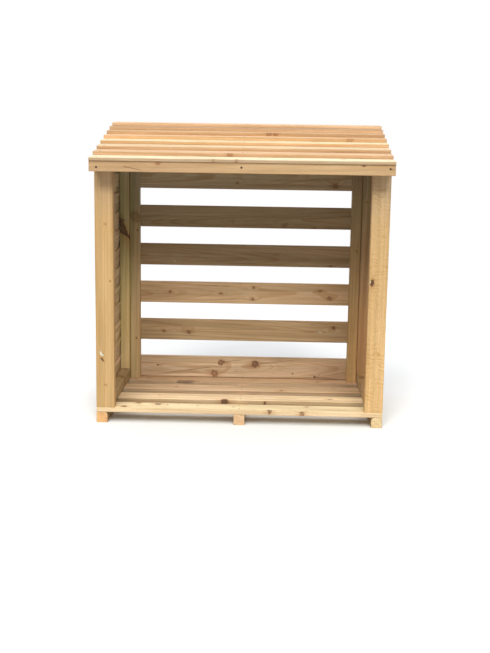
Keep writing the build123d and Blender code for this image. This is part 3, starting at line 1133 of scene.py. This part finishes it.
# %% Rafters
slope_up = np.array([0, math.cos(roof_pitch), math.sin(roof_pitch)])
slope_out = np.array([0, -math.sin(roof_pitch), math.cos(roof_pitch)])
rafter_rise = rafter_depth / math.cos(roof_pitch)
for side in ("left", "middle", "right"):
    low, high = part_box("rafter_" + side)
    origin = np.array([low.x, low.y, under_rafters(low.y) + rafter_rise])
    length, corners = (high.y - low.y) / math.cos(roof_pitch), oblong(high.x - low.x, rafter_depth)
    values = {"pith": (0.03, 0.06), "look": (0.1, 0.4, 0.6), "knots": some_knots(0.72, 0.045, 2)}
    values |= {"arris": 0.0012, "slopes": (-rise, -rise), "spans": square_sides}
    rafter = board(origin, slope_up, X, -slope_out, length, corners, (0.62, 0.43, 0.225), **values)
    join(side + "_rafter", ["rafter_" + side], "pine_frame", rafter)
print("rafters rise", round(rise * 1000), "mm in a metre")

# %% [markdown]
# ## Roof boards
#
# The roof boards are feather-edged too, and each course shows a little less than the one below it.
# Some tops are painted pale cream as painted light, and some darker as painted shade, while their
# sawn front edges stay orange.

# %% Roof boards
roof_front, roof_depth = body_front - 0.102, 0.732
roof_lap, course_step, course_count, nail_up = 0.0275, 0.05, 8, 0.03
mean_exposure = (roof_depth / math.cos(roof_pitch) - roof_lap) / course_count
roof_width = mean_exposure + roof_lap
eave_line = np.array([0, roof_front, under_rafters(roof_front) + rafter_rise])
# The tops' colours hold painted light, pale cream where light falls strongest, and painted shade, darker on
# the sixth and seventh courses.
roof_top_wood_painted_lit_and_shaded = [
    (0.9, 0.77, 0.53), (0.74, 0.5, 0.3), (0.74, 0.57, 0.36), (0.85, 0.71, 0.46), (0.72, 0.475, 0.27),
    (0.63, 0.43, 0.25), (0.54, 0.36, 0.22), (0.79, 0.57, 0.39),
]
roof_butt_wood = [
    (0.7, 0.51, 0.32), (0.69, 0.46, 0.28), (0.68, 0.47, 0.28), (0.81, 0.54, 0.31), (0.83, 0.55, 0.31),
    (0.75, 0.52, 0.3), (0.8, 0.56, 0.34), (0.88, 0.64, 0.4),
]
roof_knots = [
    [(-113, 0, 12, 5, -0.35), (-22, 0, 12, 4, -0.25), (400, 70, 12, 6)],
    [(-52, 0, 12, 9, -0.1), (120, 50, 12, 4)],
    [(-400, 30, 12, 4)],
    [(300, 64, 12, 7), (-200, 40, 12, 4)],
    [(446, 4, 14, 11, -0.25), (-140, 52, 12, 6, 0.5)],
    [(102, 4, 14, 9, -0.15), (130, 4, 14, 7, 0.05)],
    [(0, 40, 12, 5), (380, 50, 12, 5)],
    [(160, 20, 12, 6), (-100, 60, 12, 4)],
]
rafter_x = middle_x("rafter_left", "rafter_middle", "rafter_right")
roof_low, roof_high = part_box("roof_board_1")
first_lift = lap_lift(mean_exposure, roof_width, roof_butt)
course_foot, course_lift = 0, first_lift
exposure = mean_exposure * (1 + course_step * (course_count - 2) / 2)
for n in range(course_count):
    origin = eave_line + course_foot * slope_up
    origin[0] = roof_low.x
    heel = course_lift + roof_butt
    nail_lift = heel + (tip - heel) * nail_up / roof_width
    wood = [roof_top_wood_painted_lit_and_shaded[n], roof_top_wood_painted_lit_and_shaded[n], (0.62, 0.42, 0.22), roof_butt_wood[n]]
    values = {"look": (0.12, 0.1, 0.5), "arris": (0.002, 0.0008, 0.0008, 0.0012)}
    values["pith"] = luck.uniform(0.02, 0.09), luck.uniform(-0.09, -0.06)
    values["lean"] = luck.uniform(-0.02, 0.02, 2)
    values["knots"] = [(x - roof_low.x * 1000, *rest) for x, *rest in roof_knots[n]]
    ways, length = (X, slope_up, slope_out), roof_high.x - roof_low.x
    course = feather(origin, ways, length, roof_width, heel, course_lift, wood, **values)
    heads = [origin + (x - roof_low.x) * X + nail_up * slope_up + nail_lift * slope_out for x in rafter_x]
    nails = nail_heads(heads, slope_out, 0.0026)
    join(f"roof_course_{n + 1}", [f"roof_board_{n + 1}"], "pine_roof", course, nails)
    over_tip = roof_width / exposure * (tip + clearance)
    over_heel = heel - (heel - tip) * exposure / roof_width + clearance
    course_foot += exposure
    course_lift = max(over_tip, over_heel)
    exposure -= mean_exposure * course_step
print("mean exposure", round(mean_exposure * 1000, 1), "mm")

# %% [markdown]
# ## Fascia
#
# The board across the rafters' ends has one nail at each. Its top is cut to the tilt of the first
# roof board, which lies on it without a gap.

# %% Fascia
def under_first_board(y):
    """Height of the underside of the first roof board at the depth y, less the clearance."""
    tilt = roof_pitch - math.atan(first_lift / roof_width)
    foot_y = roof_front - first_lift * math.sin(roof_pitch)
    foot_z = eave_line[2] + first_lift * math.cos(roof_pitch)
    return foot_z + (y - foot_y) * math.tan(tilt) - clearance


fascia_knots = [
    (138, 20, 0, 0.6, 0, 85, -0.2), (274, 38, 0, 9, -0.15), (1084, 37, 0, 4, 0, -15, 0.1),
    (1187, 26, 0, 1, 1, 16, 0),
]
values = {"pith": (0.02, 0.085), "look": (0.08, 0.2, 0.3), "lean": (0.02, 0.01), "arris": 0.0015}
fascia = bevelled("fascia", under_first_board, (0.595, 0.38, 0.195), knots=fascia_knots, **values)
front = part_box("fascia")[0].y
heads = [(x, front, z) for x, z in ((-0.574, 1.067), (-0.001, 1.073), (0.583, 1.076))]
join("eave_fascia", ["fascia"], "pine_roof", fascia, nail_heads(heads, -Y, 0.0042))
print("pieces", len(pieces), "faces", sum(len(piece.data.polygons) for piece in pieces))
